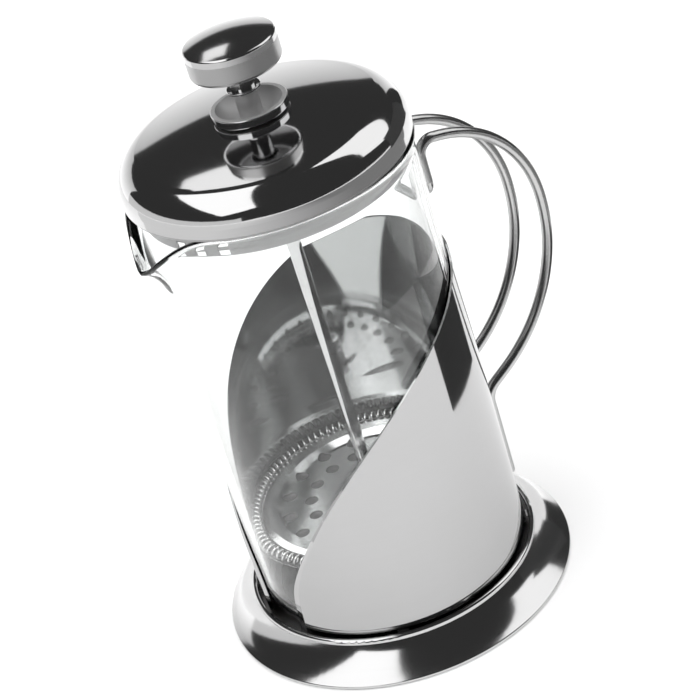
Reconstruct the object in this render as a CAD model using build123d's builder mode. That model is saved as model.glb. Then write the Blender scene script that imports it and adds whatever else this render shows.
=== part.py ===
"""French press: beaker in a pressed steel frame, with a domed lid and a filter plunger.

Millimetres, +Z up.  The origin is the centre of the flat underside, on the press's axis.
+X points to the handle and -X to the pouring spout.
"""
import os
from math import atan, cos, pi, radians, sin, sqrt, tan

from build123d import *

os.makedirs("parts", exist_ok=True)

# ---------------------------------------------------------------- driving dimensions
# glass beaker
GLASS_R = 48.0            # outer radius
GLASS_WALL = 2.6
GLASS_H = 164.0           # outer bottom to rim
GLASS_FLOOR = 3.2         # thickness of the bottom
GLASS_HEEL = 7.0          # outer radius of the rounded bottom corner
RIM_BEAD = 1.4            # how far the rim bead stands out
RIM_BEAD_H = 4.0
SPOUT_JUT = 8.5           # glass to the spout's tip
SPOUT_DIP = 12.0          # rim to the spout's tip
SPOUT_HALF_ANGLE = 27.0   # where the spout leaves the rim, from -X
SPOUT_DEPTH = 26.0        # rim to where the spout leaves the wall
SPOUT_LOW_HALF = 15.0     # half width of the spout's plan, at the bottom
SPOUT_SPREAD = 6.5        # how far the plan's side passes the notch, above the rim
SPOUT_INSET = 6.0         # how far inside the notch the plan's base lies
SPOUT_LOW_R = 9.0         # rounding of the plan's tip, at the bottom and at the top
SPOUT_TIP_R = 6.0

# frame
SHEET = 0.8               # shell and pressed discs
BASE_SHEET = 0.9          # base skirt
BASE_FLARE = 12.7         # collar to the lip's face
BASE_LIP_H = 1.0
FLARE_HOLLOW = 0.9        # how far the flare bows in, down and across
COLLAR_Z = 11.6           # centre height of the rolled collar
SEAT_Z = 7.0              # underside of the seat pan
PAD_H = 2.2
SHELL_GAP = 0.4           # beaker to shell
COLLAR_GAP = 1.2          # groove between the shell and the collar
TAB_W = 4.0               # tabs that bridge the groove
TAB_H = 2.6
TAB_ANGLES = (-32.0, 58.0, 148.0, 238.0)
FIT = 0.1                 # gap between assembled sheet pieces
RUN = 0.3                 # gap between curved faces that move apart
SHELL_PEAK_Z = 125.0      # top of the wave, at the handle
WAVE_END_DEG = 172.6      # where the wave reaches the table, from the handle
WAVE_SOFT = 2.0           # exponents of the wave's outline
WAVE_STEEP = 1.5
WAVE_STEPS = 16           # points that draw the wave

# handle
WIRE_D = 3.8
WIRE_HALF_GAP = 9.4       # centre plane to each wire's axis
HANDLE_STANDOFF = 44.5    # glass to the outermost wire centre
HANDLE_MID_Z = 110.5      # height of the outermost point
HANDLE_LOW_R = 57.0       # bend radii, from the shell up to the glass
HANDLE_TOP_R = 45.0
HANDLE_FLAT = 1.0         # straight part each side of the outermost point
HANDLE_FOOT_R = 7.0
HANDLE_SHOULDER_R = 5.0
YOKE_R = 4.5
LOW_SLOPE = 25.0          # degrees above level, where the wire leaves the shell
TOP_SLOPE = 15.0          # degrees above level, where the wire meets the glass
WIRE_FOOT_Z = 18.0        # lower ends of the legs
YOKE_Z = 137.0            # bottom of the U-bend on the glass
WELD_L = 24.0
WELD_RISE = 4.0           # foot of the wire to the weld

# lid
LID_SHEET = 0.8
DOME_OVERHANG = 1.3       # glass to the dome's face
DOME_H = 17.6             # foot to crown
DOME_WALL_H = 3.1         # upright part above the foot
DOME_CROWN_R = 201.0      # radius of the shallow crown
LEDGE_H = 1.1             # band under the dome's foot
LEDGE_INSET = 0.5         # dome's face to the band's face
HEM_H = 3.0               # upstand of the band inside the dome
HEM_T = 1.0
SKIRT_GAP = 0.7           # skirt to the inside of the glass
SKIRT_SHEET = 0.6
SKIRT_H = 6.7
SLOT_W = 3.8
SLOT_H = 3.0
SLOT_ANGLES = (14.0, 25.0, 36.0)
PLATE_DROP = 3.4          # rim to the top of the inner plate
GUIDE_R = 6.0
GUIDE_H = 2.4
GUIDE_GROOVE = 1.0        # how far the guide's flanges lap the plate

# rod bush
CUP_R = 13.0
CUP_LIP_W = 1.7
CUP_H = 3.0
CUP_BODY_R = 9.2
CUP_FLOOR_R = 5.4
CUP_DEPTH = 4.2
STEM_R = 5.4
STEM_H = 6.6
BOSS_R = 4.0
BOSS_H = 4.8              # boss above the cup's lip
RING_NUT_R = 12.0
RING_NUT_H = 2.4
RING_NOTCH = 2.4          # side of the square notches in its edge
TURNED_EDGE = 0.4         # rounding of the cup's edges

# plunger
ROD_R = 2.4
ROD_RUN = 0.08            # radial running fit of the rod in its bush
ROD_TAIL = 1.5            # rod below the hub nut
KNOB_R = 15.5
KNOB_BODY_H = 7.2
KNOB_BAND_H = 2.4
KNOB_CROWN_H = 2.6
KNOB_SOCKET_H = 5.0
KNOB_FOOT_R = 1.4         # rounding under the barrel
KNOB_EDGE_R = 0.8         # rounding of the cap and the hub
COLLAR_NECK_R = 4.2
COLLAR_FLANGE_R = 5.8
COLLAR_FLANGE_H = 1.1
COLLAR_H = 8.4
FILTER_Z = 41.0           # centre of the coil spring
COIL_R = 2.0              # radius of the coil's section
COIL_GAP = 0.3            # coil to glass
MESH_T = 0.4
MESH_GAP = 0.5            # mesh edge to glass
PLATE_T = 0.6
PLATE_STEP_H = 2.2
PLATE_RAISED_W = 6.2      # raised ring at the plate's edge
PLATE_EDGE_W = 2.4        # part of it that slopes down to the coil
PLATE_EDGE_DROP = 0.6
HOLE_D = 5.0
INNER_HOLES = (22.5, 15)  # pitch radius and count
OUTER_HOLES = (31.0, 16)
CROSS_T = 1.2
CROSS_GAP = 3.9           # glass to the cross plate
CROSS_RIM_W = 5.0
CROSS_ARM_W = 7.0
HUB_R = 5.2
HUB_FLANGE_R = 9.0
HUB_FLANGE_T = 1.2
HUB_H = 8.4
NUT_AF = 10.0
NUT_H = 4.6

# ---------------------------------------------------------------- levels and radii that follow
GLASS_Z = SEAT_Z + SHEET + PAD_H
RIM_Z = GLASS_Z + GLASS_H
BORE_R = GLASS_R - GLASS_WALL
SHELL_IN = GLASS_R + SHELL_GAP
SHELL_OUT = SHELL_IN + SHEET
COLLAR_IN = SHELL_OUT + COLLAR_GAP
COLLAR_MID = COLLAR_IN + BASE_SHEET / 2
BASE_LIP_R = COLLAR_IN + BASE_FLARE
SPOUT_REACH = GLASS_R + SPOUT_JUT
HANDLE_REACH = GLASS_R + HANDLE_STANDOFF
DOME_R = GLASS_R + DOME_OVERHANG
CROSS_R = BORE_R - CROSS_GAP
SKIRT_OUT = BORE_R - SKIRT_GAP
SKIRT_IN = SKIRT_OUT - SKIRT_SHEET
PLATE_TOP = RIM_Z - PLATE_DROP
LEDGE_Z = RIM_Z + LEDGE_H
DOME_Z = LEDGE_Z + FIT
CROWN_Z = DOME_Z + DOME_H
CUP_Z = CROWN_Z + RUN
RING_NUT_Z = CROWN_Z - LID_SHEET - RING_NUT_H - RUN - RING_NUT_R ** 2 / (2 * DOME_CROWN_R)
CUP_LIP_Z = CUP_Z + CUP_H
BOSS_Z = CUP_LIP_Z + BOSS_H
DOME_HOLE_R = CUP_BODY_R + FIT
KNOB_Z = BOSS_Z + RUN + COLLAR_H
KNOB_TOP_Z = KNOB_Z + KNOB_BODY_H
ROD_TOP_Z = KNOB_Z + KNOB_SOCKET_H
COIL_MID = BORE_R - COIL_GAP - COIL_R
PLATE_R = COIL_MID - COIL_R - RUN
MESH_Z = FILTER_Z - COIL_R - MESH_T
PLATE_Z = MESH_Z + MESH_T
CROSS_Z = MESH_Z - CROSS_T
ROD_END_Z = CROSS_Z - NUT_H - ROD_TAIL
WIRE_R = WIRE_D / 2
LEG_X = sqrt((SHELL_OUT + WIRE_R + FIT) ** 2 - WIRE_HALF_GAP ** 2)
YOKE_X = max(LEG_X, GLASS_R + RUN + WIRE_R)
HEEL_IN = GLASS_HEEL - GLASS_WALL / 2
NECK_Z = COLLAR_Z - BASE_SHEET
BEAD_R = BASE_SHEET / 2 + FIT
FLARE_TOP = COLLAR_MID + 2 * BEAD_R


def wave_height(angle_deg):
    """Height of the shell's upper edge, by the angle from the handle."""
    share = min(abs(angle_deg) / WAVE_END_DEG, 1.0)
    return SHELL_PEAK_Z * (1 - share ** WAVE_SOFT) ** (1 / WAVE_STEEP)


def dome_arcs(inset):
    """Crown top, meeting point, mid points and foot of the dome's two arcs, moved in by an inset."""
    crown_mid = CROWN_Z - DOME_CROWN_R
    corner_z = DOME_Z + DOME_WALL_H
    drop = corner_z - crown_mid
    shoulder = (DOME_CROWN_R ** 2 - DOME_R ** 2 - drop ** 2) / (2 * (DOME_CROWN_R - DOME_R))
    tilt = atan((DOME_R - shoulder) / drop)
    crown_r, corner_r = DOME_CROWN_R - inset, shoulder - inset
    corner_x = DOME_R - shoulder
    middle = (pi / 2 + tilt) / 2
    return [(0, CROWN_Z - inset),
            (crown_r * sin(tilt / 2), crown_mid + crown_r * cos(tilt / 2)),
            (crown_r * sin(tilt), crown_mid + crown_r * cos(tilt)),
            (corner_x + corner_r * sin(middle), corner_z + corner_r * cos(middle)),
            (corner_x + corner_r, corner_z)]


def finish(part, label):
    """Label one piece and write its STEP file."""
    part.label = label
    export_step(part, f"parts/{label}.step")


# ---------------------------------------------------------------- frame
# Base skirt: one sheet, from the turned lip up the flare, over the collar and down inside it.
with BuildPart() as base_skirt:
    with BuildSketch(Plane.XZ):
        with BuildLine():
            lip_x = BASE_LIP_R - BASE_SHEET / 2
            lip = Line((lip_x, BASE_SHEET / 2), (lip_x, BASE_LIP_H))
            bow = ((lip_x + FLARE_TOP) / 2 - FLARE_HOLLOW, (BASE_LIP_H + NECK_Z) / 2 - FLARE_HOLLOW)
            flare = ThreePointArc(lip @ 1, bow, (FLARE_TOP, NECK_Z))
            neck = Line(flare @ 1, (FLARE_TOP, COLLAR_Z))
            bead = ThreePointArc(neck @ 1, (COLLAR_MID + BEAD_R, COLLAR_Z + BEAD_R), (COLLAR_MID, COLLAR_Z))
            Line(bead @ 1, (COLLAR_MID, SEAT_Z + SHEET + BASE_SHEET / 2))
            offset(amount=BASE_SHEET / 2, side=Side.BOTH)
        make_face()
    revolve(axis=Axis.Z)
finish(base_skirt.part, "base_skirt")

with BuildPart() as base_plate:
    with BuildSketch():
        Circle(BASE_LIP_R - BASE_SHEET - 3 * FIT)
    extrude(amount=SHEET)
    fillet(base_plate.edges().group_by(Axis.Z)[-1], SHEET / 3)
finish(base_plate.part, "base_plate")

with BuildPart() as seat_pan:
    with BuildSketch(Plane.XY.offset(SEAT_Z)):
        Circle(COLLAR_IN + BASE_SHEET)
    extrude(amount=SHEET)
finish(seat_pan.part, "seat_pan")

with BuildPart() as glass_pad:
    with BuildSketch(Plane.XY.offset(SEAT_Z + SHEET)):
        Circle(GLASS_R - GLASS_HEEL + 2)
    extrude(amount=PAD_H)
    fillet(glass_pad.edges().group_by(Axis.Z)[-1], PAD_H / 4)
finish(glass_pad.part, "glass_pad")

# Wave shell: a sheet tube, cut by the wave seen from the side.
with BuildPart() as wave_shell:
    with BuildSketch(Plane.XY.offset(SEAT_Z + SHEET)):
        Circle(SHELL_OUT)
        Circle(SHELL_IN, mode=Mode.SUBTRACT)
    extrude(amount=SHELL_PEAK_Z)
    angles = [WAVE_END_DEG * i / WAVE_STEPS for i in range(WAVE_STEPS + 1)]
    outline = [(SHELL_OUT * cos(radians(a)), wave_height(a)) for a in angles]
    with BuildSketch(Plane.XZ):
        with BuildLine():
            wave = Spline(*outline, tangents=((-1, 0), (-0.15, -1)))
            Polyline(wave @ 0, (2 * GLASS_R, SHELL_PEAK_Z), (2 * GLASS_R, 3 * SHELL_PEAK_Z),
                     (-2 * GLASS_R, 3 * SHELL_PEAK_Z), (-2 * GLASS_R, 0), wave @ 1)
        make_face()
    extrude(amount=2 * GLASS_R, both=True, mode=Mode.SUBTRACT)
finish(wave_shell.part, "wave_shell")

# Tabs: small blocks in the groove, welded to the shell and the collar.
with BuildPart() as collar_tabs:
    for angle in TAB_ANGLES:
        with BuildSketch(Plane.XY.offset(COLLAR_Z - TAB_H).rotated((0, 0, angle))):
            with Locations(((SHELL_OUT + COLLAR_IN) / 2, 0)):
                Rectangle(3 * COLLAR_GAP, TAB_W)
        extrude(amount=TAB_H)
    with BuildSketch():
        Circle(SHELL_OUT)
    extrude(amount=RIM_Z, mode=Mode.SUBTRACT)
    with BuildSketch():
        Circle(2 * GLASS_R)
        Circle(COLLAR_IN, mode=Mode.SUBTRACT)
    extrude(amount=RIM_Z, mode=Mode.SUBTRACT)
finish(collar_tabs.part, "collar_tabs")

# Handle wire: one foot, the front loop, the U-bend on the glass, the rear loop and the other foot.
low_tangent = HANDLE_LOW_R * tan(radians(90 - LOW_SLOPE) / 2)
top_tangent = HANDLE_TOP_R * tan(radians(90 - TOP_SLOPE) / 2)
low_corner_z = HANDLE_MID_Z - HANDLE_FLAT - low_tangent
top_corner_z = HANDLE_MID_Z + HANDLE_FLAT + top_tangent
foot_corner_z = low_corner_z - (HANDLE_REACH - LEG_X) * tan(radians(LOW_SLOPE))
shoulder_z = top_corner_z + (HANDLE_REACH - YOKE_X) * tan(radians(TOP_SLOPE))


def loop_corners(side):
    """Corners of one loop's path, from its foot to the U-bend; side is -1 or 1."""
    y = side * WIRE_HALF_GAP
    return [(LEG_X, y, WIRE_FOOT_Z), (LEG_X, y, foot_corner_z), (HANDLE_REACH, y, low_corner_z),
            (HANDLE_REACH, y, top_corner_z), (YOKE_X, y, shoulder_z), (YOKE_X, y, YOKE_Z)]


loop_bends = [HANDLE_FOOT_R, HANDLE_LOW_R, HANDLE_TOP_R, HANDLE_SHOULDER_R, YOKE_R]
with BuildPart() as handle_wire:
    with BuildLine():
        path = FilletPolyline(*loop_corners(-1), *reversed(loop_corners(1)),
                              radius=loop_bends + loop_bends[::-1])
    with BuildSketch(Plane(origin=path @ 0, z_dir=path % 0)):
        Circle(WIRE_R)
    sweep(path=path)
    fillet(handle_wire.faces().filter_by(GeomType.PLANE).edges(), WIRE_R / 3)
finish(handle_wire.part, "handle_wire")

# Welds: a bead down each leg, filling the gap between wire and shell.
with BuildPart() as handle_welds:
    for side in (-1, 1):
        low = (0, 0, WIRE_FOOT_Z + WELD_RISE)
        radial = Plane(origin=low, x_dir=(LEG_X, side * WIRE_HALF_GAP, 0), z_dir=(0, 0, 1))
        with BuildSketch(radial):
            with Locations((SHELL_OUT + WIRE_R / 3, 0)):
                Rectangle(WIRE_R, WIRE_R * 1.5)
        extrude(amount=WELD_L)
    add(handle_wire.part, mode=Mode.SUBTRACT)
    with BuildSketch(Plane.XY):
        Circle(SHELL_OUT)
    extrude(amount=RIM_Z, mode=Mode.SUBTRACT)
finish(handle_welds.part, "handle_welds")

# ---------------------------------------------------------------- beaker


def plan_face(z, reach, half_width, tip_r, thin):
    """One plan of the spout: a rounded triangle that points along -X, made thinner by a wall."""
    back = GLASS_R * cos(radians(SPOUT_HALF_ANGLE)) - SPOUT_INSET
    half_tip = atan(half_width / (reach - back))
    apex = reach + tip_r * (1 / sin(half_tip) - 1)
    with BuildSketch(Plane.XY.offset(z)) as plan:
        with BuildLine():
            Polyline((-back, half_width), (-apex, 0), (-back, -half_width), close=True)
        make_face()
        fillet(plan.vertices().sort_by(Axis.X)[0], tip_r - thin)
    return plan.sketch.face().moved(Location((1.2 * thin, 0, 0)))


def spout_plans(thin):
    """The spout's plans, where it leaves the wall and above the rim."""
    low_z = RIM_Z - SPOUT_DEPTH
    high_z = RIM_Z + SPOUT_DIP
    tip_z = RIM_Z - SPOUT_DIP
    slope = (SPOUT_REACH - GLASS_R) / (tip_z - low_z)
    reach = SPOUT_REACH + slope * (high_z - tip_z)
    side = GLASS_R * sin(radians(SPOUT_HALF_ANGLE))
    return [plan_face(low_z, GLASS_R, SPOUT_LOW_HALF - thin, SPOUT_LOW_R, thin),
            plan_face(high_z, reach, side + SPOUT_SPREAD - thin, SPOUT_TIP_R, thin)]


with BuildPart() as above_lip:
    # everything above the rim and above the lip, which dips from the rim to the tip
    with BuildSketch(Plane.XZ):
        with BuildLine():
            notch_x = -GLASS_R * cos(radians(SPOUT_HALF_ANGLE))
            tip_z = RIM_Z - SPOUT_DIP
            Polyline((notch_x, RIM_Z), (-SPOUT_REACH, tip_z), (-3 * GLASS_R, tip_z),
                     (-3 * GLASS_R, 2 * RIM_Z), (2 * GLASS_R, 2 * RIM_Z), (2 * GLASS_R, RIM_Z), close=True)
        make_face()
    extrude(amount=2 * GLASS_R, both=True)

with BuildPart() as spout_inside:
    loft(spout_plans(GLASS_WALL), ruled=True)

with BuildPart() as spout_body:
    loft(spout_plans(0), ruled=True)
    add(above_lip.part, mode=Mode.SUBTRACT)

# Beaker: the wall and bead are turned, the spout is added, and both are hollowed together.
with BuildPart() as glass_beaker:
    with BuildSketch(Plane.XZ):
        with BuildLine():
            bottom = Line((0, GLASS_Z), (GLASS_R - GLASS_HEEL, GLASS_Z))
            heel = RadiusArc(bottom @ 1, (GLASS_R, GLASS_Z + GLASS_HEEL), -GLASS_HEEL)
            wall = Line(heel @ 1, (GLASS_R, RIM_Z - RIM_BEAD_H))
            bead = ThreePointArc(wall @ 1, (GLASS_R + RIM_BEAD, RIM_Z - RIM_BEAD_H / 2), (GLASS_R, RIM_Z))
            Polyline(bead @ 1, (0, RIM_Z), (0, GLASS_Z))
        make_face()
    revolve(axis=Axis.Z)
    add(spout_body.part)
    with BuildSketch(Plane.XZ):
        with BuildLine():
            floor = Line((0, GLASS_Z + GLASS_FLOOR), (BORE_R - HEEL_IN, GLASS_Z + GLASS_FLOOR))
            heel = RadiusArc(floor @ 1, (BORE_R, GLASS_Z + GLASS_FLOOR + HEEL_IN), -HEEL_IN)
            Polyline(heel @ 1, (BORE_R, 2 * RIM_Z), (0, 2 * RIM_Z), (0, GLASS_Z + GLASS_FLOOR))
        make_face()
    revolve(axis=Axis.Z, mode=Mode.SUBTRACT)
    add(spout_inside.part, mode=Mode.SUBTRACT)
    add(above_lip.part, mode=Mode.SUBTRACT)
finish(glass_beaker.part, "glass_beaker")

# ---------------------------------------------------------------- lid
# Rim band: a flange that sits on the glass, with a ledge under the dome's foot and a hem inside it.
with BuildPart() as lid_band:
    with BuildSketch(Plane.XZ):
        ledge_r = DOME_R - LEDGE_INSET
        hem_r = DOME_R - LID_SHEET - FIT
        with BuildLine():
            hem_z = LEDGE_Z + HEM_H
            Polyline((SKIRT_IN, RIM_Z), (ledge_r, RIM_Z), (ledge_r, LEDGE_Z), (hem_r, LEDGE_Z),
                     (hem_r, hem_z), (hem_r - HEM_T, hem_z), (hem_r - HEM_T, RIM_Z + LID_SHEET),
                     (SKIRT_IN, RIM_Z + LID_SHEET), close=True)
        make_face()
    revolve(axis=Axis.Z)
    rings = lid_band.edges().filter_by(GeomType.CIRCLE).group_by(Axis.Z)[0]
    fillet(rings.sort_by(SortBy.RADIUS)[-1], LEDGE_H * 0.25)
finish(lid_band.part, "lid_band")

# Dome: one drawn sheet with a shallow crown, a tight shoulder and an upright foot.
with BuildPart() as lid_dome:
    with BuildSketch(Plane.XZ):
        over, under = dome_arcs(0), dome_arcs(LID_SHEET)
        with BuildLine():
            ThreePointArc(*over[:3])
            ThreePointArc(*over[2:])
            Polyline(over[4], (DOME_R, DOME_Z), (DOME_R - LID_SHEET, DOME_Z), under[4])
            ThreePointArc(*under[2:])
            ThreePointArc(*under[:3])
            Line(under[0], over[0])
        make_face()
    revolve(axis=Axis.Z)
    with BuildSketch():
        Circle(DOME_HOLE_R)
    extrude(amount=2 * RIM_Z, mode=Mode.SUBTRACT)
finish(lid_dome.part, "lid_dome")

# Skirt: a ring that hangs inside the glass, with strainer slots on each side of the spout.
with BuildPart() as lid_skirt:
    with BuildSketch(Plane.XY.offset(RIM_Z - SKIRT_H)):
        Circle(SKIRT_OUT)
        Circle(SKIRT_IN, mode=Mode.SUBTRACT)
    extrude(amount=SKIRT_H)
    slot_z = RIM_Z - SKIRT_H + (SKIRT_H - PLATE_DROP) / 2
    for angle in [180 + side * a for a in SLOT_ANGLES for side in (-1, 1)]:
        with Locations(Location((0, 0, slot_z), (0, 0, angle))):
            with Locations((SKIRT_OUT, 0, 0)):
                Box(4 * SKIRT_SHEET, SLOT_W, SLOT_H, mode=Mode.SUBTRACT)
finish(lid_skirt.part, "lid_skirt")

with BuildPart() as lid_inner_plate:
    with BuildSketch(Plane.XY.offset(PLATE_TOP)):
        Circle(SKIRT_IN)
        Circle(GUIDE_R - GUIDE_GROOVE, mode=Mode.SUBTRACT)
    extrude(amount=-LID_SHEET)
finish(lid_inner_plate.part, "lid_inner_plate")

# Grommet: two flanges with a waist in the plate's hole.
with BuildPart() as rod_guide:
    with BuildSketch(Plane.XY.offset(PLATE_TOP - LID_SHEET / 2 - GUIDE_H / 2)):
        Circle(GUIDE_R)
        Circle(ROD_R + RUN, mode=Mode.SUBTRACT)
    extrude(amount=GUIDE_H)
    add(lid_inner_plate.part, mode=Mode.SUBTRACT)
finish(rod_guide.part, "rod_guide")

# ---------------------------------------------------------------- rod bush
with BuildPart() as centre_cup:
    with BuildSketch(Plane.XZ):
        with BuildLine():
            bore = ROD_R + ROD_RUN
            lip_in = CUP_R - CUP_LIP_W
            floor_z = CUP_LIP_Z - CUP_DEPTH
            stem_z = CROWN_Z - LID_SHEET - STEM_H
            Polyline((bore, BOSS_Z), (bore, stem_z), (STEM_R, stem_z), (STEM_R, RING_NUT_Z),
                     (CUP_BODY_R, RING_NUT_Z), (CUP_BODY_R, CUP_Z), (CUP_R, CUP_Z),
                     (CUP_R, CUP_LIP_Z), (lip_in, CUP_LIP_Z))
            hollow = ThreePointArc((lip_in, CUP_LIP_Z), (CUP_BODY_R - LID_SHEET, CUP_Z + FIT),
                                   (CUP_FLOOR_R, floor_z))
            Polyline(hollow @ 1, (BOSS_R, floor_z), (BOSS_R, BOSS_Z), (bore, BOSS_Z))
        make_face()
    revolve(axis=Axis.Z)
    rings = centre_cup.edges().filter_by(GeomType.CIRCLE)
    fillet(rings.filter_by(lambda e: abs(e.radius - CUP_R) < FIT), TURNED_EDGE)
    top_rings = rings.filter_by(lambda e: abs(e.radius - BOSS_R) < FIT and e.center().Z > CUP_LIP_Z)
    fillet(top_rings, TURNED_EDGE)
finish(centre_cup.part, "centre_cup")

with BuildPart() as ring_nut:
    with BuildSketch(Plane.XY.offset(RING_NUT_Z)):
        Circle(RING_NUT_R)
        Circle(CUP_BODY_R, mode=Mode.SUBTRACT)
        with PolarLocations(RING_NUT_R, 4):
            Rectangle(RING_NOTCH, RING_NOTCH, mode=Mode.SUBTRACT)
    extrude(amount=RING_NUT_H)
finish(ring_nut.part, "ring_nut")

# ---------------------------------------------------------------- plunger
with BuildPart() as rod:
    with BuildSketch(Plane.XY.offset(ROD_END_Z)):
        Circle(ROD_R)
    extrude(amount=ROD_TOP_Z - ROD_END_Z)
    chamfer(rod.edges().group_by(Axis.Z)[0], ROD_R / 5)
finish(rod.part, "rod")

with BuildPart() as knob_collar:
    with BuildSketch(Plane.XZ):
        foot_z = BOSS_Z + RUN
        with BuildLine():
            Polyline((ROD_R, foot_z), (COLLAR_FLANGE_R, foot_z), (COLLAR_FLANGE_R, foot_z + COLLAR_FLANGE_H),
                     (COLLAR_NECK_R, foot_z + COLLAR_FLANGE_H), (COLLAR_NECK_R, KNOB_Z), (ROD_R, KNOB_Z),
                     close=True)
        make_face()
    revolve(axis=Axis.Z)
    rings = knob_collar.edges().filter_by(GeomType.CIRCLE)
    fillet(rings.filter_by(lambda e: e.radius > COLLAR_NECK_R + FIT), COLLAR_FLANGE_H * 0.35)
finish(knob_collar.part, "knob_collar")

with BuildPart() as knob_barrel:
    with BuildSketch(Plane.XY.offset(KNOB_Z)):
        Circle(KNOB_R)
    extrude(amount=KNOB_BODY_H)
    fillet(knob_barrel.edges().group_by(Axis.Z)[0], KNOB_FOOT_R)
    with Locations((0, 0, KNOB_Z)):
        Cylinder(ROD_R, KNOB_SOCKET_H, align=(Align.CENTER, Align.CENTER, Align.MIN), mode=Mode.SUBTRACT)
finish(knob_barrel.part, "knob_barrel")

with BuildPart() as knob_cap:
    with BuildSketch(Plane.XZ):
        edge_z = KNOB_TOP_Z + KNOB_BAND_H
        with BuildLine():
            base = Line((0, KNOB_TOP_Z), (KNOB_R, KNOB_TOP_Z))
            band = Line(base @ 1, (KNOB_R, edge_z))
            crown = ThreePointArc(band @ 1, (KNOB_R / 2, edge_z + 0.75 * KNOB_CROWN_H),
                                  (0, edge_z + KNOB_CROWN_H))
            Line(crown @ 1, base @ 0)
        make_face()
    revolve(axis=Axis.Z)
    rings = knob_cap.edges().filter_by(GeomType.CIRCLE)
    fillet(rings.filter_by(lambda e: e.center().Z > KNOB_TOP_Z + FIT), KNOB_EDGE_R)
finish(knob_cap.part, "knob_cap")

# Spiral plate: a stamped disc with a raised ring, two rings of holes and an edge inside the coil.
with BuildPart() as spiral_plate:
    with BuildSketch(Plane.XZ):
        step = PLATE_Z + PLATE_STEP_H
        ramp = PLATE_STEP_H * 0.8
        inner = PLATE_R - PLATE_RAISED_W
        with BuildLine():
            top = Polyline((ROD_R, PLATE_Z + PLATE_T), (inner - ramp, PLATE_Z + PLATE_T),
                           (inner, step + PLATE_T), (PLATE_R - PLATE_EDGE_W, step + PLATE_T),
                           (PLATE_R, step - PLATE_EDGE_DROP + PLATE_T))
            low = Polyline((PLATE_R, step - PLATE_EDGE_DROP), (PLATE_R - PLATE_EDGE_W, step), (inner, step),
                           (inner - ramp, PLATE_Z), (ROD_R, PLATE_Z))
            Line(top @ 1, low @ 0)
            Line(low @ 1, top @ 0)
        make_face()
    revolve(axis=Axis.Z)
    with BuildSketch(Plane.XY.offset(PLATE_Z - 1)):
        for pitch, count in (INNER_HOLES, OUTER_HOLES):
            with PolarLocations(pitch, count):
                Circle(HOLE_D / 2)
    extrude(amount=2 * PLATE_T + 2, mode=Mode.SUBTRACT)
finish(spiral_plate.part, "spiral_plate")

with BuildPart() as coil_spring:
    with BuildSketch(Plane.XZ):
        with Locations((COIL_MID, FILTER_Z)):
            Circle(COIL_R)
    revolve(axis=Axis.Z)
finish(coil_spring.part, "coil_spring")

with BuildPart() as filter_mesh:
    with BuildSketch(Plane.XY.offset(MESH_Z)):
        Circle(BORE_R - MESH_GAP)
        Circle(ROD_R, mode=Mode.SUBTRACT)
    extrude(amount=MESH_T)
finish(filter_mesh.part, "filter_mesh")

# Cross plate: a rim and a hub joined by four arms.
with BuildPart() as cross_plate:
    with BuildSketch(Plane.XY.offset(CROSS_Z)):
        Circle(CROSS_R)
        Circle(CROSS_R - CROSS_RIM_W, mode=Mode.SUBTRACT)
        Circle(HUB_FLANGE_R)
        Rectangle(2 * CROSS_R - CROSS_RIM_W, CROSS_ARM_W)
        Rectangle(CROSS_ARM_W, 2 * CROSS_R - CROSS_RIM_W)
        Circle(ROD_R, mode=Mode.SUBTRACT)
    extrude(amount=CROSS_T)
finish(cross_plate.part, "cross_plate")

with BuildPart() as filter_hub:
    with BuildSketch(Plane.XZ):
        seat = PLATE_Z + PLATE_T
        with BuildLine():
            Polyline((ROD_R, seat), (HUB_FLANGE_R, seat), (HUB_FLANGE_R, seat + HUB_FLANGE_T),
                     (HUB_R, seat + HUB_FLANGE_T), (HUB_R, seat + HUB_H), (ROD_R, seat + HUB_H), close=True)
        make_face()
    revolve(axis=Axis.Z)
    rings = filter_hub.edges().filter_by(GeomType.CIRCLE)
    fillet(rings.filter_by(lambda e: abs(e.radius - HUB_R) < FIT).group_by(Axis.Z)[-1], KNOB_EDGE_R)
finish(filter_hub.part, "filter_hub")

with BuildPart() as hub_nut:
    with BuildSketch(Plane.XY.offset(CROSS_Z)):
        RegularPolygon(NUT_AF / 2, 6, major_radius=False)
        Circle(ROD_R, mode=Mode.SUBTRACT)
    extrude(amount=-NUT_H)
finish(hub_nut.part, "hub_nut")
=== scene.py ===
"""French press: finishes, glass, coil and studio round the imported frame.
Metres, +Z up, +X to the handle."""
from math import atan2, cos, hypot, pi, radians, sin, sqrt

import bmesh
import bpy
from mathutils import Matrix, Vector


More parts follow.
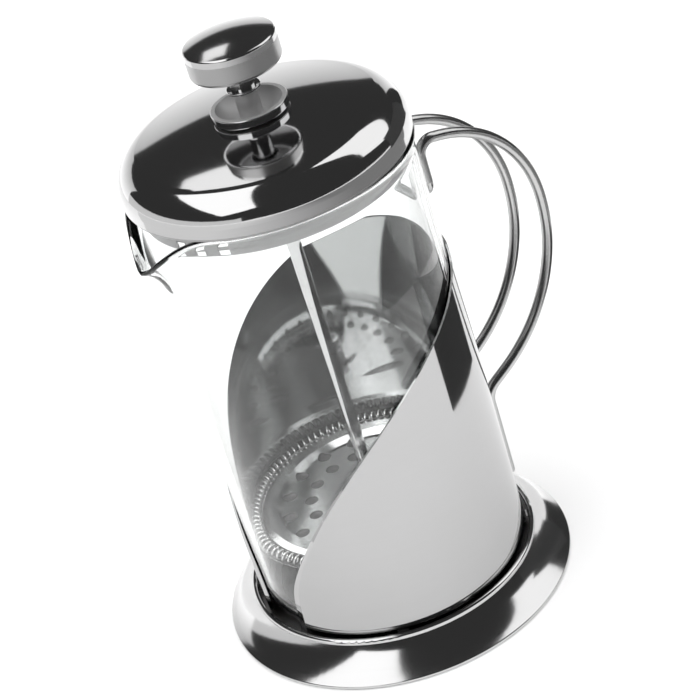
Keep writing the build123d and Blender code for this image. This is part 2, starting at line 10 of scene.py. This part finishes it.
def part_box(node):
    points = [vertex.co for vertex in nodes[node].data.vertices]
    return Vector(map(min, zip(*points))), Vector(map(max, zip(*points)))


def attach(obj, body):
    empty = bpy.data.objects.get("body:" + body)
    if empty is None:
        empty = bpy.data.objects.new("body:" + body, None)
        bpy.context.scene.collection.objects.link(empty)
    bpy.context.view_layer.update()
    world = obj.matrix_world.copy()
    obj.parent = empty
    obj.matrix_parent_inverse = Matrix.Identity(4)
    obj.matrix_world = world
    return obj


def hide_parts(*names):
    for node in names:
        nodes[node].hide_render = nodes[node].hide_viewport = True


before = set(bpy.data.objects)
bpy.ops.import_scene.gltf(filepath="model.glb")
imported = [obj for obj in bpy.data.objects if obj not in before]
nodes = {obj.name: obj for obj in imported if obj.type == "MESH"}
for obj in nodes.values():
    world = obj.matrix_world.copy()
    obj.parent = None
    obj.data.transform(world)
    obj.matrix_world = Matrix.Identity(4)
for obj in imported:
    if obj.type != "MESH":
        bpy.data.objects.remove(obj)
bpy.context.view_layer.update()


# ---------------------------------------------------------------- base skirt
# The foot is one spun sheet of stainless steel, brushed bright.
# It flares from the rolled collar down to a turned lip on the table.
class Wire:
    """A node's output. Python's operators on it add Math nodes to the same tree."""

    def __init__(self, socket):
        self.socket = socket

    def make(self, kind, settings, inputs, output=0):
        """A new node of that kind, set up, then fed with values or wires."""
        tree = self.socket.id_data
        node = tree.nodes.new("ShaderNode" + kind)
        for name, value in settings.items():
            if name == "stops":
                ramp = node.color_ramp.elements
                while len(ramp) < len(value):
                    ramp.new(0.5)
                for stop, (place, shade) in zip(ramp, value):
                    stop.position = place
                    stop.color = (shade, shade, shade, 1)
            else:
                setattr(node, name, value)
        for name, value in inputs.items():
            if isinstance(value, Wire):
                tree.links.new(value.socket, node.inputs[name])
            else:
                node.inputs[name].default_value = value
        return Wire(node.outputs[output])

    def maths(self, operation, *values):
        return self.make("Math", {"operation": operation}, dict(enumerate(values)))

    def __add__(self, other):
        return self.maths("ADD", self, other)

    def __sub__(self, other):
        return self.maths("SUBTRACT", self, other)

    def __rsub__(self, other):
        return self.maths("SUBTRACT", other, self)

    def __mul__(self, other):
        return self.maths("MULTIPLY", self, other)

    def __pow__(self, other):
        return self.maths("POWER", self, other)

    def __gt__(self, other):
        return self.maths("GREATER_THAN", self, other)

    def __lt__(self, other):
        return self.maths("LESS_THAN", self, other)

    __radd__ = __add__
    __rmul__ = __mul__


def new_finish(name, **constants):
    """A material with a Principled shader. Gives both, and the piece's own coordinates."""
    material = bpy.data.materials.new(name)
    material.use_nodes = True
    shader = material.node_tree.nodes["Principled BSDF"]
    for socket, value in constants.items():
        shader.inputs[socket.replace("_", " ")].default_value = value
    place = material.node_tree.nodes.new("ShaderNodeTexCoord")
    return material, shader, Wire(place.outputs["Object"])


def feed(shader, **wires):
    """Link wires to the shader's sockets."""
    for socket, wire in wires.items():
        shader.id_data.links.new(wire.socket, shader.inputs[socket.replace("_", " ")])


def axes(place):
    """The three coordinates of a place."""
    split = place.make("SeparateXYZ", {}, {0: place})
    return [Wire(output) for output in split.socket.node.outputs]


def from_axis(place):
    """The distance from the press's axis."""
    x, y, _ = axes(place)
    return (x * x + y * y) ** 0.5


def blotches(place, scale, detail=3.0):
    """Soft cloudy noise from 0 to 1."""
    return place.make("TexNoise", {}, {"Vector": place, "Scale": scale, "Detail": detail}, "Fac")


LINES_ROUND = 1.5                   # how fast the turned lines change along their way round
CLOUD_SCALE = 38.0                  # clouds in the polish, about 26 mm across
MIRROR_TINT, MIRROR_ROUGH = (0.65, 0.65, 0.655, 1), 0.08


def turned_lines(place, pitch):
    """Fine noise drawn out round the axis, as a lathe or a spun polishing pad leaves it."""
    x, y, z = axes(place)
    angle = place.maths("ARCTAN2", y, x)
    along = place.make("CombineXYZ", {}, {0: from_axis(place) * (1 / pitch), 1: z * (1 / pitch),
                                          2: angle * LINES_ROUND})
    return place.make("TexNoise", {}, {"Vector": along, "Scale": 1.0, "Detail": 2.0}, "Fac")


def relief(place, height, strength, depth):
    """A Bump node's normal."""
    return place.make("Bump", {}, {"Height": height, "Strength": strength, "Distance": depth})


def grey_blend(place, share, first, second):
    """A mix of two greys or tints by a wire."""
    return place.make("Mix", {"data_type": "RGBA"}, {"Factor": share, "A": first, "B": second}, 2)


def steel(name, shade, rough, haze, pitch, grain, metal=1.0, mirror=None):
    """Stainless steel by its grey, roughness, haze, and the pitch and depth of its turned lines.
    mirror tells from a place whether the steel is polished there."""
    material, shader, place = new_finish(name, Metallic=metal)
    cloud = blotches(place, CLOUD_SCALE)
    lines = turned_lines(place, pitch)
    tint = grey_blend(place, cloud * 0.6 + lines * 0.4, (shade, shade, shade * 1.01, 1),
                      (shade * 0.94, shade * 0.935, shade * 0.93, 1))
    matt = cloud * haze + lines * (haze * 0.5) + (rough - haze * 0.5)
    if mirror:
        bright = mirror(place)
        tint = grey_blend(place, bright, tint, MIRROR_TINT)
        matt = matt * (1 - bright) + bright * MIRROR_ROUGH
        feed(shader, Metallic=bright * (1 - metal) + metal)
    feed(shader, Base_Color=tint, Roughness=matt, Normal=relief(place, lines, grain, depth=0.00002))
    return material


def dress(material, *names):
    """Give CAD nodes a finish."""
    for name in names:
        mesh = nodes[name].data
        mesh.materials.clear()
        mesh.materials.append(material)


brushed = steel("brushed_steel", shade=0.66, rough=0.10, haze=0.05, pitch=0.0006, grain=0.10)
dress(brushed, "base_skirt")

# ---------------------------------------------------------------- inside the foot
# A plain disc closes the foot from below, and a pan above it carries the beaker.
# Both are stamped steel; the beaker stands on a pad of grey silicone.
stamped = steel("stamped_steel", shade=0.62, rough=0.30, haze=0.08, pitch=0.0012, grain=0.1)
dress(stamped, "base_plate", "seat_pan")

rubber, shader, place = new_finish("grey_silicone", IOR=1.42)
speckle = blotches(place, 2600.0, detail=2.0)
feed(shader, Base_Color=place.make("ValToRGB", {"stops": [(0.3, 0.045), (0.7, 0.075)]}, {"Fac": speckle}),
     Roughness=speckle * 0.15 + 0.5, Normal=relief(place, speckle, strength=0.2, depth=0.00005))
dress(rubber, "glass_pad", "rod_guide")

# ---------------------------------------------------------------- wave shell
# A steel sleeve wraps the glass, cut in one long wave from the foot up to the handle.
# It is rolled from bright sheet, and small welded tabs hold it in the collar.
sleeve = steel("rolled_steel", shade=0.50, rough=0.05, haze=0.03, pitch=0.0009, grain=0.03)
dress(sleeve, "wave_shell", "collar_tabs")

# ---------------------------------------------------------------- handle
# One drawn round wire makes both loops and the U-bend that rests on the glass.
# Its two legs are welded to the sleeve and the welds are ground smooth.
drawn_wire, shader, place = new_finish("bright_wire", Metallic=1.0, Specular_Tint=(0.3, 0.3, 0.3, 1))
cloud = blotches(place, 60.0)
feed(shader, Base_Color=place.make("ValToRGB", {"stops": [(0.2, 0.52), (0.8, 0.60)]}, {"Fac": cloud}),
     Roughness=cloud * 0.04 + 0.2, Normal=relief(place, blotches(place, 900.0), strength=0.04, depth=0.00003))
dress(drawn_wire, "handle_wire", "handle_welds")

# ---------------------------------------------------------------- glass beaker
# Blown borosilicate glass with a fire-polished rim bead and a thick rounded bottom.
# The spout is drawn out of the rim while it is hot, so its wall stays one sheet.
MM = 0.001
GLASS_R, WALL, FLOOR = 48.0, 2.6, 3.2
GLASS_LOW, GLASS_RIM = 10.0, 174.0
HEEL_OUT, HEEL_IN, HEEL_STEPS = 7.0, 5.7, 10
BOTTOM_RING = 20                    # a ring of vertices in the flat bottom
BEAD = 1.3                          # how far the rim bead stands out
SPOUT_HALF = radians(36)
SPOUT_REACH, SPOUT_DIP, SPOUT_DEPTH = 7.0, 12.4, 26.0
SPOUT_POINT = 2.3                   # how quickly the beak narrows from the rim to its tip
TIP_ROUND, TIP_EASE = 0.004, 0.063  # rounding of the tip, and what keeps its full reach
WALL_STEP, WALL_RINGS = 1.6, 13
TURNS = 192


def arc(centre, radius, start, end):
    """Points on an arc in the section plane, angles in degrees."""
    angles = [radians(start + (end - start) * i / HEEL_STEPS) for i in range(HEEL_STEPS + 1)]
    return [(centre[0] + radius * cos(a), centre[1] + radius * sin(a)) for a in angles]


def spun(section):
    """A closed shape spun round the axis from a section in millimetres that starts and ends on it."""
    shape = bmesh.new()
    verts = [shape.verts.new((x * MM, 0, z * MM)) for x, z in section]
    edges = [shape.edges.new(pair) for pair in zip(verts, verts[1:])]
    bmesh.ops.spin(shape, geom=verts + edges, cent=(0, 0, 0), axis=(0, 0, 1), angle=2 * pi, steps=TURNS,
                   use_merge=True)
    bmesh.ops.remove_doubles(shape, verts=shape.verts, dist=1e-6)
    bmesh.ops.recalc_face_normals(shape, faces=shape.faces)
    return shape


def settle(name, shape, material, body):
    """Turn a bmesh into a smooth-shaded piece with its finish, on its body."""
    mesh = bpy.data.meshes.new(name)
    for face in shape.faces:
        face.smooth = True
    shape.to_mesh(mesh)
    shape.free()
    mesh.materials.append(material)
    piece = bpy.data.objects.new(name, mesh)
    bpy.context.scene.collection.objects.link(piece)
    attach(piece, body)
    return piece


bore = GLASS_R - WALL
wall_heights = [GLASS_RIM - SPOUT_DEPTH + i * WALL_STEP for i in range(WALL_RINGS)]
outside = [(0, GLASS_LOW), (BOTTOM_RING, GLASS_LOW)]
outside += arc((GLASS_R - HEEL_OUT, GLASS_LOW + HEEL_OUT), HEEL_OUT, -90, 0)
outside += [(GLASS_R, z) for z in wall_heights]
rim = [(GLASS_R + BEAD * 0.35, GLASS_RIM - 3.4), (GLASS_R + BEAD * 0.8, GLASS_RIM - 2.7),
       (GLASS_R + BEAD, GLASS_RIM - 1.8), (GLASS_R + BEAD * 0.8, GLASS_RIM - 0.9),
       (GLASS_R + BEAD * 0.2, GLASS_RIM - 0.2), (GLASS_R - 0.9, GLASS_RIM),
       (bore + 0.8, GLASS_RIM - 0.2), (bore + 0.15, GLASS_RIM - 0.8), (bore, GLASS_RIM - 1.8)]
inside = [(bore, z) for z in reversed(wall_heights)]
inside += reversed(arc((bore - HEEL_IN, GLASS_LOW + FLOOR + HEEL_IN), HEEL_IN, -90, 0))
inside += [(BOTTOM_RING, GLASS_LOW + FLOOR), (0, GLASS_LOW + FLOOR)]
beaker_shape = spun(outside + rim + inside)
for vert in beaker_shape.verts:
    x, y, z = (c / MM for c in vert.co)
    off = abs(atan2(y, -x)) / SPOUT_HALF
    if off < 1 and z > GLASS_RIM - SPOUT_DEPTH:
        forward = (1 - sqrt(off ** 2 + TIP_ROUND) + TIP_EASE * (1 - off)) ** SPOUT_POINT
        up = (z - GLASS_RIM + SPOUT_DEPTH) / SPOUT_DEPTH
        scale = 1 + SPOUT_REACH * forward * up ** 2 / hypot(x, y)
        vert.co = Vector((x * scale, y * scale, z - SPOUT_DIP * forward * up)) * MM

clear, shader, place = new_finish("clear_glass", IOR=1.47, Transmission_Weight=1.0)
drift = blotches(place, 9.0, detail=1.0)
feed(shader, Base_Color=grey_blend(place, drift, (0.985, 0.992, 0.99, 1), (0.97, 0.985, 0.98, 1)),
     Roughness=blotches(place, 45.0) * 0.004, Normal=relief(place, drift, strength=0.05, depth=0.0006))
beaker = settle("beaker_glass", beaker_shape, clear, "beaker")
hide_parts("glass_beaker")

# ---------------------------------------------------------------- lid
# The dome is a deep-drawn steel cap polished to a mirror, set on a satin rim band.
# A matt skirt with strainer slots hangs inside the glass under a flat inner plate.
polished = steel("polished_steel", shade=0.66, rough=0.06, haze=0.03, pitch=0.0006, grain=0.05)
dress(polished, "lid_dome")
satin = steel("satin_steel", shade=0.46, rough=0.28, haze=0.08, pitch=0.0005, grain=0.18, metal=0.9)
dress(satin, "lid_band")
matt_steel = steel("matt_steel", shade=0.34, rough=0.3, haze=0.08, pitch=0.0005, grain=0.15)
dress(matt_steel, "lid_skirt", "lid_inner_plate")

# ---------------------------------------------------------------- centre cup
# A turned cup, frosted inside and polished round its wall, clamps through the dome.
# A ring nut holds it from below, and its boss guides the rod.
CUP_WALL = 12.85 * MM
frosted = steel("frosted_steel", shade=0.5, rough=0.5, haze=0.06, pitch=0.0004, grain=0.12, metal=0.6,
                mirror=lambda place: from_axis(place) > CUP_WALL)
dress(frosted, "centre_cup", "ring_nut")

# ---------------------------------------------------------------- rod and knob
# The rod is a polished round bar with a flanged collar under the knob.
# The knob is a turned puck with satin sides, a polished underside and a brushed cap.
dress(polished, "rod", "knob_collar")
dress(brushed, "knob_cap")
KNOB_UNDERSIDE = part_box("knob_barrel")[0][2] + 0.4 * MM
turned = steel("turned_steel", shade=0.46, rough=0.28, haze=0.08, pitch=0.0005, grain=0.18, metal=0.9,
               mirror=lambda place: axes(place)[2] < KNOB_UNDERSIDE)
dress(turned, "knob_barrel")

# ---------------------------------------------------------------- filter
# Stamped spiral plate, gauze and cross plate are clamped on the rod by a hub and a nut.
# The plates are polished stainless steel; the gauze is woven from fine wire.
pressed = steel("pressed_steel", shade=0.66, rough=0.10, haze=0.05, pitch=0.0010, grain=0.08)
dress(pressed, "spiral_plate", "cross_plate", "filter_hub", "hub_nut")

GAUZE_PITCH = 0.45 * MM
gauze, shader, place = new_finish("wire_gauze", Metallic=1.0)
x, y, _ = axes(place)
warp = place.maths("SINE", x * (2 * pi / GAUZE_PITCH))
weft = place.maths("SINE", y * (2 * pi / GAUZE_PITCH))
# The gauze's grey is painted shade: dark overall for the shade seen through the spiral plate's holes, and
# near black in the weave's low spots.
weave_and_shade = warp * warp * 0.5 + weft * weft * 0.5
feed(shader, Base_Color=place.make("ValToRGB", {"stops": [(0.1, 0.05), (0.8, 0.36)]}, {"Fac": weave_and_shade}),
     Roughness=0.45 - weave_and_shade * 0.15, Normal=relief(place, weave_and_shade, strength=0.6, depth=0.0001))
dress(gauze, "filter_mesh")

# ---------------------------------------------------------------- coil spring
# A close coil of fine spring wire is bent into a ring round the plate's edge.
# It presses the gauze against the glass.
COIL_RING, COIL_OUT, COIL_WIRE, COIL_Z = 43.1, 2.0, 0.42, 41.0
COIL_LOOPS, LOOP_STEPS = 104, 14
coil_line = bpy.data.curves.new("coil_line", "CURVE")
coil_line.dimensions = "3D"
coil_line.bevel_depth = COIL_WIRE * MM
coil_line.bevel_resolution = 1
spring = coil_line.splines.new("POLY")
spring.points.add(COIL_LOOPS * LOOP_STEPS - 1)
spring.use_cyclic_u = True
for i, point in enumerate(spring.points):
    turn, loop = 2 * pi * i / (COIL_LOOPS * LOOP_STEPS), 2 * pi * i / LOOP_STEPS
    ring = COIL_RING + (COIL_OUT - COIL_WIRE) * cos(loop)
    height = COIL_Z + (COIL_OUT - COIL_WIRE) * sin(loop)
    point.co = (ring * cos(turn) * MM, ring * sin(turn) * MM, height * MM, 1)
coil_curve = bpy.data.objects.new("coil_line", coil_line)
bpy.context.scene.collection.objects.link(coil_curve)
coil_mesh = bpy.data.meshes.new_from_object(coil_curve.evaluated_get(bpy.context.evaluated_depsgraph_get()))
bpy.data.objects.remove(coil_curve)
coil_shape = bmesh.new()
coil_shape.from_mesh(coil_mesh)
spring_steel, shader, place = new_finish("spring_wire", Metallic=1.0)
cloud = blotches(place, 300.0)
feed(shader, Base_Color=place.make("ValToRGB", {"stops": [(0.2, 0.66), (0.8, 0.76)]}, {"Fac": cloud}),
     Roughness=cloud * 0.08 + 0.12)
coil = settle("filter_coil", coil_shape, spring_steel, "plunger")
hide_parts("coil_spring")

# ---------------------------------------------------------------- soft boxes
# Three soft boxes give the metal its bright shapes.
# One wide overhead light, which the metal doesn't mirror, whitens the table.
VIEW_TURN = radians(-26)
LIGHT_CENTRE = Vector((0, 0, 0.18))
to_part = Matrix.Rotation(VIEW_TURN, 4, "Z")


def aim(azimuth, elevation, distance):
    """A place by its bearing from the camera's line, right positive, seen from the lid."""
    a, e = radians(azimuth), radians(elevation)
    return to_part @ (Vector((sin(a) * cos(e), cos(a) * cos(e), sin(e))) * distance + LIGHT_CENTRE)


def area_light(name, at, size, radiance, towards, along, seen):
    """A rectangular light turned to a point, its first side along a direction.
    seen says whether the metal mirrors it."""
    lamp = bpy.data.lights.new(name, "AREA")
    lamp.shape = "RECTANGLE"
    lamp.size, lamp.size_y = size
    lamp.energy = radiance * pi * size[0] * size[1]
    obj = bpy.data.objects.new(name, lamp)
    bpy.context.scene.collection.objects.link(obj)
    back = (at - towards).normalized()
    side = (along - back * along.dot(back)).normalized()
    obj.matrix_world = Matrix.Translation(at) @ Matrix((side, back.cross(side), back)).transposed().to_4x4()
    obj.visible_camera = False
    obj.visible_glossy = seen


for name, at, size, radiance, along in (
        ("left_box", aim(-116, 56.5, 1.21), (2.0, 0.74), 1.5, (0.24, 0.94, 0.241)),
        ("crown_box", aim(-12, 48, 1.2), (0.25, 0.26), 1.2, (1, 0, 0.5)),
        ("right_box", aim(72, 42, 1.2), (1.35, 0.75), 1.3, (-0.55, 0.478, 0.685))):
    area_light(name, at, size, radiance, towards=LIGHT_CENTRE, along=to_part @ Vector(along), seen=True)
area_light("overhead", at=Vector((0, 0, 2.3)), size=(6.0, 6.0), radiance=1.62,
           towards=Vector((0, 0, 0)), along=Vector((1, 0, 0)), seen=False)

# ---------------------------------------------------------------- screens and cards
# Upright screens and a low grey card stand round the press, and only metal mirrors them.
# Pale ones give the dome its light edge; dark ones give the sleeve and the bands their shades.
def swept(start, sweep, near, far, steps):
    """A strip swept round the axis, its first edge between two places at a bearing in degrees."""
    shape = bmesh.new()
    a = radians(start)
    verts = [shape.verts.new(to_part @ Vector((sin(a) * reach, cos(a) * reach, z)))
             for reach, z in (near, far)]
    edge = shape.edges.new(verts)
    bmesh.ops.spin(shape, geom=verts + [edge], cent=(0, 0, 0), axis=(0, 0, -1),
                   angle=radians(sweep), steps=steps)
    return shape


def prop(name, shape, material):
    """A thing of the studio, not of the press."""
    mesh = bpy.data.meshes.new(name)
    shape.to_mesh(mesh)
    shape.free()
    mesh.materials.append(material)
    obj = bpy.data.objects.new(name, mesh)
    bpy.context.scene.collection.objects.link(obj)
    return obj


def glowing(name, shape, share, stops):
    """A card that only metal mirrors, with a glow that share works out from its place."""
    material, shader, place = new_finish(name, Base_Color=(0.02, 0.02, 0.02, 1), Roughness=0.9,
                                         Emission_Strength=1.0)
    feed(shader, Emission_Color=place.make("ValToRGB", {"stops": stops}, {"Fac": share(place)}))
    obj = prop(name, shape, material)
    obj.visible_camera = obj.visible_diffuse = obj.visible_shadow = obj.visible_transmission = False


def screen(name, start, end, reach, heights, glow):
    """An upright screen; its top runs from one height to another and its light fades to the top."""
    shape = swept(start, end - start, (reach, 0), (reach, 1), 24)
    for vert in shape.verts:
        if vert.co.z > 0.5:
            bearing = atan2(vert.co.x, vert.co.y) + VIEW_TURN - radians(start)
            share = min(bearing % (2 * pi) / radians(end - start), 1)
            vert.co.z = heights[0] + (heights[1] - heights[0]) * share ** 2
    glowing(name, shape, lambda place: axes(place)[2] * (1 / max(heights)),
            [(0.0, glow[0]), (1.0, glow[1])])


screen("backdrop", -48, 30, 1.2, heights=(0.62, 0.60), glow=(1.5, 0.6))
screen("left_wall", -150, -48, 1.21, heights=(0.26, 0.30), glow=(0.8, 0.75))
screen("right_flag", 44, 84, 0.75, heights=(0.40, 0.40), glow=(0.03, 0.03))
screen("side_flag", 58, 104, 0.165, heights=(0.05, 0.062), glow=(0.02, 0.02))

CARD_START, CARD_SWEEP = 60, 240
CARD_NEAR, CARD_FAR, CARD_LIFT = 0.26, 1.0, 0.002
CARD_FADE = 0.8                     # width over which the card goes from pale to dark


def across(place):
    """The share of the way across the view, left to right."""
    x, y, _ = axes(place)
    return x * (cos(VIEW_TURN) / CARD_FADE) + y * (sin(VIEW_TURN) / CARD_FADE) + 0.5


card = swept(CARD_START, CARD_SWEEP, (CARD_NEAR, CARD_LIFT), (CARD_FAR, CARD_LIFT), 32)
glowing("table_card", card, across, [(0.1, 0.85), (0.9, 0.22)])

# ---------------------------------------------------------------- table and room
# A plain white table stands in a room that is white to look at.
# Glass bends its light from a pale low sky, and metal mirrors it dark.
TABLE_HALF = 1.3
SKY_LOW, SKY_HIGH = 0.15, 0.6       # sine of the elevations between which the sky dims
PALE_SKY, DIM_SKY, DARK_ROOM = 0.93, 0.3, 0.04
floor_shape = bmesh.new()
bmesh.ops.create_grid(floor_shape, x_segments=1, y_segments=1, size=TABLE_HALF)
white, shader, place = new_finish("white_table", Roughness=0.8, Specular_IOR_Level=0.2)
drift = blotches(place, 3.0)
feed(shader, Base_Color=place.make("ValToRGB", {"stops": [(0.0, 0.86), (1.0, 0.88)]}, {"Fac": drift}))
prop("table_top", floor_shape, white)

world = bpy.data.worlds.new("studio")
bpy.context.scene.world = world
world.use_nodes = True
rays = world.node_tree.nodes.new("ShaderNodeLightPath")
seen, bent = Wire(rays.outputs["Is Camera Ray"]), Wire(rays.outputs["Is Transmission Ray"])
heading = Wire(world.node_tree.nodes.new("ShaderNodeTexCoord").outputs["Generated"])
low_sky = heading.make("MapRange", {"interpolation_type": "SMOOTHSTEP"},
                       {"Value": axes(heading)[2], "From Min": SKY_LOW, "From Max": SKY_HIGH,
                        "To Min": PALE_SKY, "To Max": DIM_SKY})
lit = seen + bent * low_sky
level = lit.maths("MAXIMUM", lit, DARK_ROOM)
shade = level.make("CombineColor", {}, {0: level, 1: level, 2: level})
world.node_tree.links.new(shade.socket, world.node_tree.nodes["Background"].inputs["Color"])

# ---------------------------------------------------------------- camera
# It looks down on the lid from the spout's side and is rolled, so the press leans to the left.
# The lens is long, which keeps the press's sides nearly parallel.
EYE = Vector((0, -0.7330, 0.5364))
SWING, TILT, ROLL = 0.0096, 0.5412, 0.3076
LENS, SENSOR = 128.4, 36
camera = bpy.data.objects.new("camera", bpy.data.cameras.new("camera"))
camera.data.lens = LENS
camera.data.sensor_width = SENSOR
camera.data.clip_start, camera.data.clip_end = 0.05, 20
bpy.context.scene.collection.objects.link(camera)
camera.matrix_world = (Matrix.Translation(to_part @ EYE) @ Matrix.Rotation(VIEW_TURN - SWING, 4, "Z")
                       @ Matrix.Rotation(pi / 2 - TILT, 4, "X") @ Matrix.Rotation(-ROLL, 4, "Z"))
bpy.context.scene.camera = camera
bpy.context.scene.view_settings.view_transform = "Standard"
